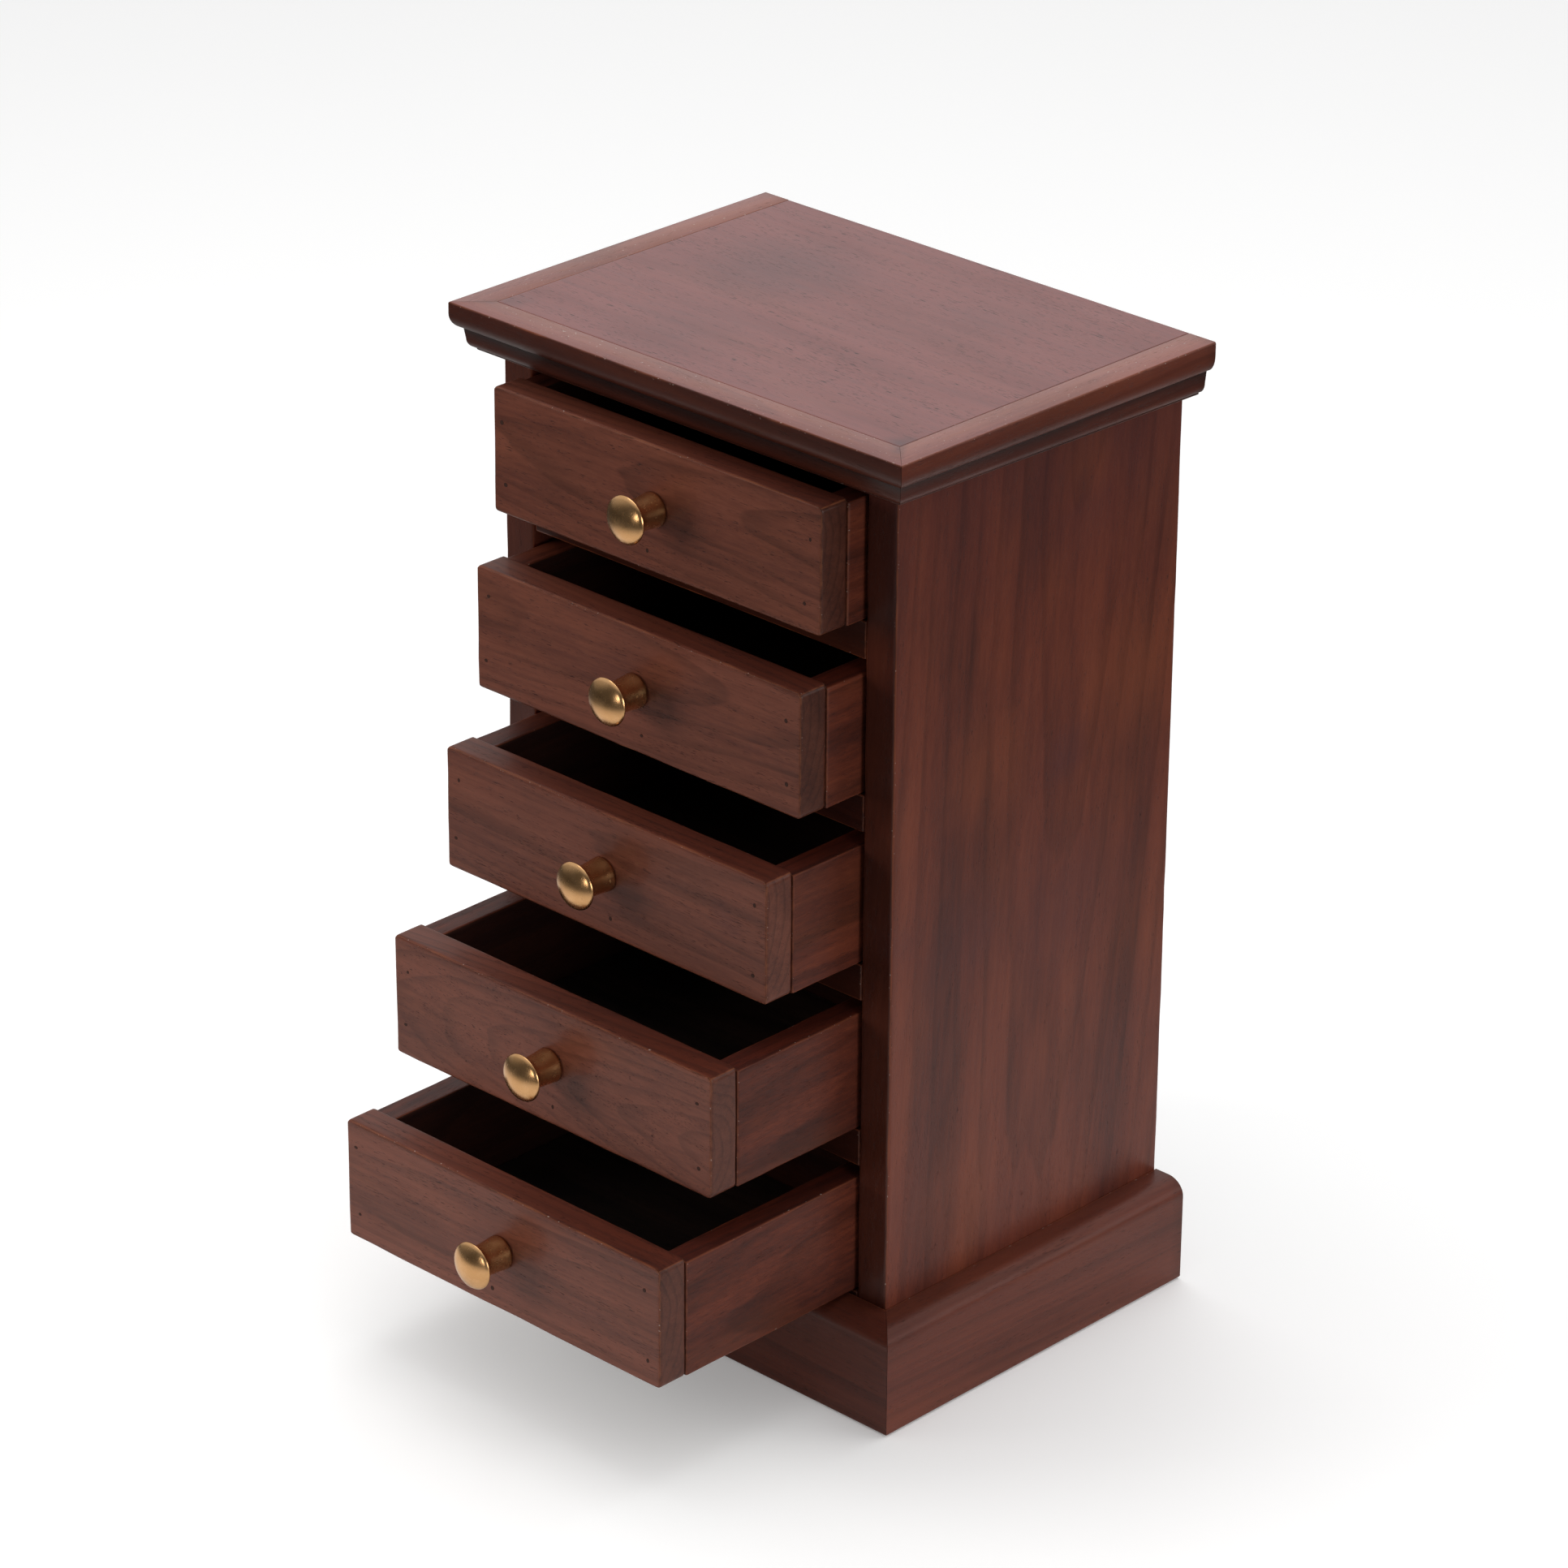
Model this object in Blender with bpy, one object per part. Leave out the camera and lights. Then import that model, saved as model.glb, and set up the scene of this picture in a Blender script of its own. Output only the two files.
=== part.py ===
"""Miniature chest of five drawers.

A hardwood case with an applied cornice and plinth, four boards that divide it into bays, and five
nailed drawer boxes that slide on those boards. Each drawer has a turned brass knob held by a screw.
Metres, +Z up, front towards -Y. The origin is on the floor, under the middle of the whole object as
it stands with its drawers partly open.
"""

import math

import bmesh
import bpy
from mathutils import Matrix, Vector

MM = 0.001
GAP = 0.3 * MM  # left between pieces that touch, so that their solids stay apart

# Case
CASE_WIDTH = 155.4 * MM
CASE_DEPTH = 120.0 * MM
HEIGHT = 304.4 * MM
BOARD = 11.5 * MM  # thickness of the sides and of the shelves between them
BACK_PANEL = 4.0 * MM
TOP_PANEL = 5.0 * MM
TOP_OVERHANG = 0.9 * MM  # top panel past the sides and front, inside the cornice's broad lip
SHELF_SETBACK = 0.4 * MM  # front edges of the shelves, behind the front edges of the sides
CASE_ARRIS = 0.8 * MM

# Plinth and cornice
PROUD = 11.2 * MM  # how far both stand out from the case
PLINTH_HEIGHT = 33.6 * MM
PLINTH_ROUND_OUT = 6.0 * MM
PLINTH_ROUND_UP = 5.4 * MM
PLINTH_FOOT_ROUND = 1.2 * MM
CORNICE_DEPTH = 17.0 * MM

# Drawers, numbered from the top
DRAWER_COUNT = 5
DRAWER_WIDTH = 129.6 * MM
DRAWER_HEIGHT = 38.8 * MM
DRAWER_LENGTH = 114.0 * MM
DRAWER_PITCH = 53.3 * MM
LOWEST_DRAWER = 34.9 * MM  # underside of the lowest drawer
FRONT_BOARD = 10.3 * MM
FRONT_CORNER = 1.8 * MM
SIDE_BOARD = 8.6 * MM
SIDE_DROP = 1.6 * MM  # sides end this far below the top of the front
BACK_DROP = 2.4 * MM
FLOOR_BOARD = 5.0 * MM
FLOOR_RISE = 0.8 * MM  # underside of the floor board, above the lower edges of the sides
DRAWER_ARRIS = 0.6 * MM
PULLED_OUT = [16.8 * MM, 24.4 * MM, 37.5 * MM, 59.5 * MM, 80.0 * MM]  # as the chest stands

# Knob and its screw
KNOB_BASE_RADIUS = 5.3 * MM
KNOB_WAIST_RADIUS = 4.8 * MM
KNOB_WAIST_OUT = 8.2 * MM
KNOB_HEAD_RADIUS = 7.3 * MM
KNOB_RIM_OUT = 11.3 * MM  # middle of the rim, in front of the drawer
KNOB_RIM = 0.7 * MM
KNOB_DOME = 2.75 * MM
KNOB_STEPS = 28
SCREW_RADIUS = 1.5 * MM
SCREW_HEAD_RADIUS = 3.4 * MM
SCREW_HEAD = 2.0 * MM
SCREW_REACH = 7.0 * MM  # how far the shank enters the knob
SCREW_STEPS = 16
SCREW_SLOT = 0.9 * MM

HALF_WIDTH = CASE_WIDTH / 2
HALF_OPENING = HALF_WIDTH - BOARD
SHELF_END = HALF_OPENING - GAP
SHELF_BACK = CASE_DEPTH - BACK_PANEL - GAP
SIDE_TOP = HEIGHT - TOP_PANEL - GAP
SHELF_TO_DRAWER = GAP
KNOB_TIP = KNOB_RIM_OUT + KNOB_RIM / 2 + KNOB_DOME
CASE_FRONT_Y = (max(PULLED_OUT) + KNOB_TIP - CASE_DEPTH) / 2


def clear_scene():
    for item in list(bpy.data.objects):
        bpy.data.objects.remove(item, do_unlink=True)


def make_material(name, colour, roughness, metallic=0.0):
    material = bpy.data.materials.new(name)
    material.use_nodes = True
    shader = material.node_tree.nodes["Principled BSDF"]
    shader.inputs["Base Color"].default_value = (*colour, 1.0)
    shader.inputs["Roughness"].default_value = roughness
    shader.inputs["Metallic"].default_value = metallic
    return material


def add_empty(name, location, parent=None):
    empty = bpy.data.objects.new(name, None)
    bpy.context.collection.objects.link(empty)
    empty.location = location
    empty.parent = parent
    return empty


def add_object(name, mesh_maker, location, parent, material):
    """A new object whose mesh is what mesh_maker leaves in an empty bmesh, with its faces turned out."""
    form = bmesh.new()
    mesh_maker(form)
    bmesh.ops.recalc_face_normals(form, faces=form.faces)
    mesh = bpy.data.meshes.new(name)
    form.to_mesh(mesh)
    form.free()
    item = bpy.data.objects.new(name, mesh)
    bpy.context.collection.objects.link(item)
    item.location = location
    item.parent = parent
    if material:
        item.data.materials.append(material)
    return item


def soften(item, width):
    bevel = item.modifiers.new("arris", "BEVEL")
    bevel.width = width
    bevel.segments = 1
    bevel.limit_method = "ANGLE"
    bevel.angle_limit = math.radians(40)


def add_board(name, low, high, parent, material, arris=CASE_ARRIS):
    """A board between two corners, given in its parent's frame."""
    low = Vector(low)
    high = Vector(high)
    size = high - low

    def box(form):
        bmesh.ops.create_cube(form, size=1.0, matrix=Matrix.Diagonal((*size, 1.0)))

    item = add_object(name, box, (low + high) / 2, parent, material)
    soften(item, arris)
    return item


def arc(centre, radii, start, end, steps):
    """Points along part of an ellipse, both ends included, angles in degrees."""
    points = []
    for step in range(steps + 1):
        angle = math.radians(start + (end - start) * step / steps)
        points.append((centre[0] + radii[0] * math.cos(angle), centre[1] + radii[1] * math.sin(angle)))
    return points


def prism(form, outline, place, ends):
    """Join copies of an outline at two ends, with place(point, end) giving each vertex."""
    rings = []
    for end in ends:
        rings.append([form.verts.new(place(point, end)) for point in outline])
    form.faces.new(rings[0])
    form.faces.new(list(reversed(rings[1])))
    for here in range(len(outline)):
        after = (here + 1) % len(outline)
        form.faces.new((rings[0][here], rings[1][here], rings[1][after], rings[0][after]))


def turned(form, profile, steps):
    """Spin a profile of (radius, distance along -Y) once about the Y axis."""
    line = [form.verts.new((radius, -along, 0.0)) for radius, along in profile]
    edges = [form.edges.new(pair) for pair in zip(line, line[1:])]
    bmesh.ops.spin(
        form,
        geom=line + edges,
        cent=(0.0, 0.0, 0.0),
        axis=(0.0, 1.0, 0.0),
        angle=math.tau,
        steps=steps,
        use_duplicate=False,
    )
    bmesh.ops.remove_doubles(form, verts=form.verts, dist=1e-6)


def shade_round(item):
    item.data.shade_smooth()
    item.data.set_sharp_from_angle(angle=math.radians(35))


def plinth_outline():
    """Plinth section as (out from the case, up from the floor)."""
    foot = arc((PROUD - PLINTH_FOOT_ROUND, PLINTH_FOOT_ROUND), (PLINTH_FOOT_ROUND,) * 2, -90, 0, 2)
    shoulder_centre = (PROUD - PLINTH_ROUND_OUT, PLINTH_HEIGHT - PLINTH_ROUND_UP)
    shoulder = arc(shoulder_centre, (PLINTH_ROUND_OUT, PLINTH_ROUND_UP), 0, 90, 5)
    return [(GAP, 0.0)] + foot + shoulder + [(GAP, PLINTH_HEIGHT)]


def cornice_outline():
    """Cornice section as (out from the case, up from the floor).

    From the foot up: a slope, a small fillet, a quarter-round with a slightly leaning upright above
    it, a larger quarter-round, and the upright face of the lip with a nosed top edge. The inner side
    stands against the case and steps out round the edge of the top panel.
    """
    foot = HEIGHT - CORNICE_DEPTH
    toe = 0.8 * MM
    slope_out = 5.5 * MM
    slope_up = 2.3 * MM
    fillet = 0.7 * MM
    step_out = 0.2 * MM
    lower_round = (2.0 * MM, 2.7 * MM)
    upright = 3.5 * MM
    lean = 0.5 * MM
    upper_round = (2.8 * MM, 4.2 * MM)
    nose = 0.5 * MM
    lower_in = slope_out + step_out
    lower_top = foot + slope_up + fillet + lower_round[1]
    upper_in = PROUD - upper_round[0]
    upper_top = lower_top + upright + upper_round[1]
    outline = [(GAP, foot), (toe, foot), (slope_out, foot + slope_up), (slope_out, foot + slope_up + fillet)]
    outline += arc((lower_in, lower_top), lower_round, -90, 0, 3)
    outline.append((lower_in + lower_round[0] + lean, lower_top + upright))
    outline += arc((upper_in, upper_top), upper_round, -90, 0, 4)
    outline += arc((PROUD - nose, HEIGHT - nose), (nose, nose), 0, 90, 2)
    lip = TOP_OVERHANG + GAP
    return outline + [(lip, HEIGHT), (lip, SIDE_TOP), (GAP, SIDE_TOP)]


def add_moulding(name, outline, edge, parent, material):
    """One length of plinth or cornice along an edge of the case: front, left or right.

    The front length is mitred at both ends. The side lengths are mitred at the front and cut square
    at the back of the case.
    """
    mitre_gap = GAP / math.sqrt(2)

    def place_front(point, end):
        out, up = point
        return (end * (HALF_WIDTH + out - mitre_gap), -out, up)

    def place_side(point, end):
        out, up = point
        side = -1 if edge == "left" else 1
        return (side * (HALF_WIDTH + out), CASE_DEPTH if end > 0 else mitre_gap - out, up)

    place = place_front if edge == "front" else place_side

    def length(form):
        prism(form, outline, place, (-1, 1))

    return add_object(name, length, (0, 0, 0), parent, material)


def drawer_bottom(number):
    """Height of the underside of a drawer above the floor."""
    return LOWEST_DRAWER + (DRAWER_COUNT - number) * DRAWER_PITCH


def add_case(parent, wood, dark_wood):
    for name, side in (("left", -1), ("right", 1)):
        edges = sorted((side * HALF_OPENING, side * HALF_WIDTH))
        add_board(f"side_panel_{name}", (edges[0], 0, 0), (edges[1], CASE_DEPTH, SIDE_TOP), parent, wood)

    def shelf(name, top, material):
        low = (-SHELF_END, SHELF_SETBACK, top - BOARD)
        add_board(name, low, (SHELF_END, SHELF_BACK, top), parent, material)

    shelf("bottom_board", drawer_bottom(DRAWER_COUNT) - SHELF_TO_DRAWER, wood)
    for number in range(1, DRAWER_COUNT):
        shelf(f"divider_{number}", drawer_bottom(number) - SHELF_TO_DRAWER, wood)
    shelf("case_top_board", SIDE_TOP, wood)
    back_low = (-SHELF_END, CASE_DEPTH - BACK_PANEL, drawer_bottom(DRAWER_COUNT) - SHELF_TO_DRAWER - BOARD)
    add_board("back_panel", back_low, (SHELF_END, CASE_DEPTH, SIDE_TOP), parent, dark_wood)
    top_side = HALF_WIDTH + TOP_OVERHANG
    top_low = (-top_side, -TOP_OVERHANG, HEIGHT - TOP_PANEL)
    add_board("top_panel", top_low, (top_side, CASE_DEPTH, HEIGHT), parent, wood, arris=0.2 * MM)
    for edge in ("front", "left", "right"):
        add_moulding(f"cornice_{edge}", cornice_outline(), edge, parent, wood)
        add_moulding(f"plinth_{edge}", plinth_outline(), edge, parent, wood)


def add_drawer_front(name, parent, material):
    """The front board, with softened corners and a hole for the knob's screw."""
    inner = (DRAWER_WIDTH / 2 - FRONT_CORNER, DRAWER_HEIGHT / 2 - FRONT_CORNER)
    corners = ((1, -1, -90), (1, 1, 0), (-1, 1, 90), (-1, -1, 180))
    outline = []
    for across, up, start in corners:
        centre = (across * inner[0], up * inner[1])
        outline += arc(centre, (FRONT_CORNER, FRONT_CORNER), start, start + 90, 3)

    def place(point, end):
        return (point[0], end * FRONT_BOARD / 2, point[1])

    def slab(form):
        prism(form, outline, place, (-1, 1))

    middle = (0, FRONT_BOARD / 2, DRAWER_HEIGHT / 2)
    front = add_object(name, slab, middle, parent, material)
    soften(front, DRAWER_ARRIS)

    def drill(form):
        radius = SCREW_RADIUS + GAP
        turn = Matrix.Rotation(math.radians(90), 4, "X")
        depth = FRONT_BOARD * 2
        bmesh.ops.create_cone(
            form, cap_ends=True, segments=SCREW_STEPS, radius1=radius, radius2=radius, depth=depth, matrix=turn
        )

    cutter = add_object(f"{name}_drill", drill, middle, parent, None)
    cutter.hide_render = True
    cutter.display_type = "WIRE"
    hole = front.modifiers.new("screw_hole", "BOOLEAN")
    hole.object = cutter
    hole.operation = "DIFFERENCE"
    return front


def knob_profile():
    """Half section of the knob as (radius, distance in front of the drawer).

    It starts at the blind end of the screw's hole, goes out over the base, along the waisted neck,
    under the head and round the rim, and ends at the tip of the shallow dome.
    """
    hole = SCREW_RADIUS + GAP
    hole_end = SCREW_REACH + GAP
    profile = [(0.0, hole_end), (hole, hole_end), (hole, GAP), (KNOB_BASE_RADIUS, GAP)]
    neck_steps = 5
    for step in range(1, neck_steps + 1):
        share = step / neck_steps
        flare = (1 - share) ** 2
        radius = KNOB_WAIST_RADIUS + (KNOB_BASE_RADIUS - KNOB_WAIST_RADIUS) * flare
        profile.append((radius, GAP + (KNOB_WAIST_OUT - GAP) * share))
    rim_back = KNOB_RIM_OUT - KNOB_RIM / 2
    rim_front = KNOB_RIM_OUT + KNOB_RIM / 2
    cove_out = KNOB_HEAD_RADIUS - KNOB_WAIST_RADIUS
    cove = arc((KNOB_HEAD_RADIUS, KNOB_WAIST_OUT), (cove_out, rim_back - KNOB_WAIST_OUT), 180, 90, 4)
    profile += cove[1:]
    profile.append((KNOB_HEAD_RADIUS, rim_front))
    sphere = (KNOB_HEAD_RADIUS**2 + KNOB_DOME**2) / (2 * KNOB_DOME)
    edge = math.asin(KNOB_HEAD_RADIUS / sphere)
    dome_steps = 5
    for step in range(1, dome_steps):
        angle = edge * (1 - step / dome_steps)
        profile.append((sphere * math.sin(angle), KNOB_TIP - sphere * (1 - math.cos(angle))))
    profile.append((0.0, KNOB_TIP))
    return profile


def screw_profile():
    """Half section of the screw: a pan head inside the drawer and a shank that enters the knob."""
    head_front = -FRONT_BOARD - GAP
    head_back = head_front - SCREW_HEAD
    shoulder = SCREW_HEAD_RADIUS * 0.7
    return [
        (0.0, head_back),
        (shoulder, head_back),
        (SCREW_HEAD_RADIUS, head_back + SCREW_HEAD / 2),
        (SCREW_HEAD_RADIUS, head_front),
        (SCREW_RADIUS, head_front),
        (SCREW_RADIUS, SCREW_REACH),
        (0.0, SCREW_REACH),
    ]


def add_knob(number, parent, brass, steel):
    at = (0, 0, DRAWER_HEIGHT / 2)

    def knob(form):
        turned(form, knob_profile(), KNOB_STEPS)

    def screw(form):
        turned(form, screw_profile(), SCREW_STEPS)

    knob_item = add_object(f"drawer_{number}_knob", knob, at, parent, brass)
    screw_item = add_object(f"drawer_{number}_knob_screw", screw, at, parent, steel)
    shade_round(knob_item)
    shade_round(screw_item)

    def slot(form):
        size = Matrix.Diagonal((SCREW_SLOT, SCREW_HEAD, SCREW_HEAD_RADIUS * 3, 1.0))
        bmesh.ops.create_cube(form, size=1.0, matrix=size)

    slot_at = (0, FRONT_BOARD + GAP + SCREW_HEAD * 1.1, DRAWER_HEIGHT / 2)
    cutter = add_object(f"drawer_{number}_slot_saw", slot, slot_at, parent, None)
    cutter.hide_render = True
    cutter.display_type = "WIRE"
    cut = screw_item.modifiers.new("slot", "BOOLEAN")
    cut.object = cutter
    cut.operation = "DIFFERENCE"


def add_drawer(number, parent, wood, dark_wood, brass, steel):
    """One drawer. Its empty is on the slide's axis, at the middle of the lower edge of the front."""
    prefix = f"drawer_{number}"
    slide = add_empty(f"{prefix}_slide", (0, -PULLED_OUT[number - 1], drawer_bottom(number)), parent)
    half = DRAWER_WIDTH / 2
    inner = half - SIDE_BOARD - GAP
    behind_front = FRONT_BOARD + GAP
    add_drawer_front(f"{prefix}_front", slide, wood)
    for name, side in (("left", -1), ("right", 1)):
        edges = sorted((side * (half - SIDE_BOARD), side * half))
        low = (edges[0], behind_front, 0)
        high = (edges[1], DRAWER_LENGTH, DRAWER_HEIGHT - SIDE_DROP)
        add_board(f"{prefix}_side_{name}", low, high, slide, wood, DRAWER_ARRIS)
    back_front = DRAWER_LENGTH - SIDE_BOARD
    back_high = (inner, DRAWER_LENGTH, DRAWER_HEIGHT - BACK_DROP)
    add_board(f"{prefix}_back", (-inner, back_front, 0), back_high, slide, wood, DRAWER_ARRIS)
    floor_high = (inner, back_front - GAP, FLOOR_RISE + FLOOR_BOARD)
    floor_low = (-inner, behind_front, FLOOR_RISE)
    add_board(f"{prefix}_bottom", floor_low, floor_high, slide, dark_wood, arris=0.3 * MM)
    add_knob(number, slide, brass, steel)


def main():
    clear_scene()
    wood = make_material("stained_hardwood", (0.105, 0.040, 0.028), 0.38)
    dark_wood = make_material("inside_wood", (0.050, 0.026, 0.020), 0.65)
    brass = make_material("polished_brass", (0.83, 0.62, 0.30), 0.22, 1.0)
    steel = make_material("screw_steel", (0.45, 0.44, 0.42), 0.35, 1.0)
    case = add_empty("case", (0, CASE_FRONT_Y, 0))
    add_case(case, wood, dark_wood)
    for number in range(1, DRAWER_COUNT + 1):
        add_drawer(number, case, wood, dark_wood, brass, steel)


main()
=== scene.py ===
# %% [markdown]
# # A miniature chest of drawers
#
# The chest is a hardwood case with a stepped cornice, a round-shouldered plinth and five small nailed
# drawers, each with a turned brass knob. The imported model already says where every board is and how
# every drawer slides. This lesson dresses it: each plain board is replaced by one with softened, worn
# edges and solid wood grain, the mouldings are run from a fine section, the knobs are turned again on a
# finer profile, nail heads and a soft studio are added, and the screws get steel. Everything is in metres.

# %% Load the imported model
import math
import random

import bmesh
import bpy
import numpy as np
from mathutils import Matrix, Vector, noise


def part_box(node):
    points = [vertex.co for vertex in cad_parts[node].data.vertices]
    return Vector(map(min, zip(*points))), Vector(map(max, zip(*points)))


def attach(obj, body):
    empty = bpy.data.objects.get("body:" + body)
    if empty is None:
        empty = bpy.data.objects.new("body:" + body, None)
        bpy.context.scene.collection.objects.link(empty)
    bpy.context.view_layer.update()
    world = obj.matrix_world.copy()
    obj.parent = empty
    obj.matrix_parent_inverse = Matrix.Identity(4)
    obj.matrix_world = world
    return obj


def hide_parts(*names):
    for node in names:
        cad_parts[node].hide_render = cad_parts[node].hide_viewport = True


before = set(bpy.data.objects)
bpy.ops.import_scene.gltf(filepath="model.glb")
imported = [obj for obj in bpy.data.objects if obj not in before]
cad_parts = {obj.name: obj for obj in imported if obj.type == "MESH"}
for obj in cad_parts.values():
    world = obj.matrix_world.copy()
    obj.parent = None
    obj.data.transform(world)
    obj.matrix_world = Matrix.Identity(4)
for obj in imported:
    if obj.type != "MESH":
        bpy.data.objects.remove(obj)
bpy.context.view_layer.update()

MM = 0.001

# %% [markdown]
# ## The camera and the studio
#
# A long lens from the front right, a little above the top, shows the fronts, one side and the top
# at once, and keeps the uprights nearly parallel. The camera is built from its azimuth, elevation and
# roll. Depth of field stays off.

# %% Camera
VIEW_AZIMUTH = math.radians(43.591)
VIEW_ELEVATION = math.radians(25.126)
VIEW_ROLL = math.radians(0.441)
CAMERA_AT = Vector((1.1532, -1.1871, 0.9487))
LENS_MM = 144.63


def camera_axes(azimuth, elevation, roll):
    """Right, up and backward directions of a camera that looks at the chest from azimuth, elevation."""
    flat = math.cos(elevation)
    back = Vector((math.sin(azimuth) * flat, -math.cos(azimuth) * flat, math.sin(elevation)))
    right = Vector((math.cos(azimuth), math.sin(azimuth), 0.0))
    up = back.cross(right)
    turned_right = right * math.cos(roll) + up * math.sin(roll)
    turned_up = up * math.cos(roll) - right * math.sin(roll)
    return turned_right, turned_up, back


axes = camera_axes(VIEW_AZIMUTH, VIEW_ELEVATION, VIEW_ROLL)
camera_data = bpy.data.cameras.new("studio_camera")
camera_data.lens = LENS_MM
camera_data.clip_start = 0.05
camera_data.clip_end = 60.0
camera = bpy.data.objects.new("studio_camera", camera_data)
camera.matrix_world = Matrix.Translation(CAMERA_AT) @ Matrix(axes).transposed().to_4x4()
bpy.context.scene.collection.objects.link(camera)
bpy.context.scene.camera = camera
bpy.context.scene.view_settings.view_transform = "Standard"
print("camera at", tuple(round(value, 3) for value in camera.location))

# %% [markdown]
# The studio is a pale floor, a bright upper sky behind the chest and large area lamps. Lacquer shows
# what it reflects: the sky is bright only above and behind, which gives the top its pale sheen, while
# the fronts keep their deep colour.

# %% Studio
SKY_HIGH = 0.98
SKY_LOW = 0.11
SKY_TOWARDS = Vector((-0.35, 0.37, 0.86)).normalized()
FLOOR_SIZE = 60.0
PAPER_REACH = (0.16, 0.60)  # the paper's glow starts and stops falling off this far from the middle
LAMPS = {
    "left_softbox": ((-0.62, -0.66, 0.34), (0.45, 0.45), 4.6, (1.0, 0.98, 0.95), "matt"),
    "front_window": ((0.60, -1.6, 0.45), (0.30, 0.40), 2.6, (1.0, 0.97, 0.92), "shine"),
    "right_softbox": ((1.5, -0.25, 0.35), (0.6, 0.6), 7.0, (1.0, 0.99, 0.98), "both"),
    "back_softbox": ((1.2, 1.0, 0.5), (0.6, 0.6), 2.0, (1.0, 0.99, 0.98), "both"),
    "top_softbox": ((-0.1, 0.3, 1.6), (1.2, 1.2), 7.5, (1.0, 1.0, 1.0), "both"),
}
LAMP_AIM = Vector((0.0, 0.0, 0.14))


def add_sky():
    world = bpy.data.worlds.new("studio_sky")
    bpy.context.scene.world = world
    world.use_nodes = True
    tree = world.node_tree
    tree.nodes.clear()
    output = tree.nodes.new("ShaderNodeOutputWorld")
    background = tree.nodes.new("ShaderNodeBackground")
    ramp = tree.nodes.new("ShaderNodeMapRange")
    place = tree.nodes.new("ShaderNodeTexCoord")
    facing = tree.nodes.new("ShaderNodeVectorMath")
    facing.operation = "DOT_PRODUCT"
    facing.inputs[1].default_value = SKY_TOWARDS
    ramp.interpolation_type = "SMOOTHSTEP"
    ranges = {"From Min": 0.05, "From Max": 0.70, "To Min": SKY_LOW, "To Max": SKY_HIGH}
    for title, value in ranges.items():
        ramp.inputs[title].default_value = value
    tree.links.new(place.outputs["Generated"], facing.inputs[0])
    tree.links.new(facing.outputs["Value"], ramp.inputs["Value"])
    tree.links.new(ramp.outputs["Result"], background.inputs["Strength"])
    tree.links.new(background.outputs[0], output.inputs[0])


def add_lamp(name, location, size, power, tint, part):
    """A rectangular lamp aimed at the chest; part says whether it lights matt colour, shine or both."""
    data = bpy.data.lights.new(name, "AREA")
    data.shape = "RECTANGLE"
    data.size, data.size_y = size
    data.energy = power
    data.color = tint
    lamp = bpy.data.objects.new(name, data)
    towards = (Vector(location) - LAMP_AIM).to_track_quat("Z", "Y")
    lamp.matrix_world = Matrix.Translation(location) @ towards.to_matrix().to_4x4()
    lamp.visible_glossy = part != "matt"
    lamp.visible_diffuse = part != "shine"
    bpy.context.scene.collection.objects.link(lamp)


add_sky()
for lamp_name, lamp_setting in LAMPS.items():
    add_lamp(lamp_name, *lamp_setting)
print("lamps", sorted(LAMPS))

# %% [markdown]
# ## Shader sums as plain Python
#
# A wood shader is mostly arithmetic on noise values, so a small class wraps a socket and turns
# `a * 2 + b` into Math nodes. Every other node comes from one method, which takes the node's type, its
# settings and the values or links of its sockets.

# %% Socket and material helpers


class Value:
    """A shader socket that can be used in sums."""

    def __init__(self, material, socket):
        self.material = material
        self.socket = socket

    def calculate(self, operation, *others, clamp=False):
        settings = {"operation": operation, "use_clamp": clamp}
        return self.material.node("ShaderNodeMath", settings, *others)

    def __add__(self, other):
        return self.calculate("ADD", self, other)

    def __radd__(self, other):
        return self.calculate("ADD", other, self)

    def __sub__(self, other):
        return self.calculate("SUBTRACT", self, other)

    def __rsub__(self, other):
        return self.calculate("SUBTRACT", other, self)

    def __mul__(self, other):
        return self.calculate("MULTIPLY", self, other)

    def __rmul__(self, other):
        return self.calculate("MULTIPLY", other, self)

    def __pow__(self, other):
        return self.calculate("POWER", self, other)

    def clamped(self):
        return self.calculate("ADD", self, 0.0, clamp=True)

    def fraction(self):
        return self.calculate("FRACT", self)

    def between(self, low, high):
        """0 at low, 1 at high, with a smooth step between them."""
        settings = {"interpolation_type": "SMOOTHSTEP"}
        return self.material.node("ShaderNodeMapRange", settings, self, low, high, 0.0, 1.0)


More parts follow.
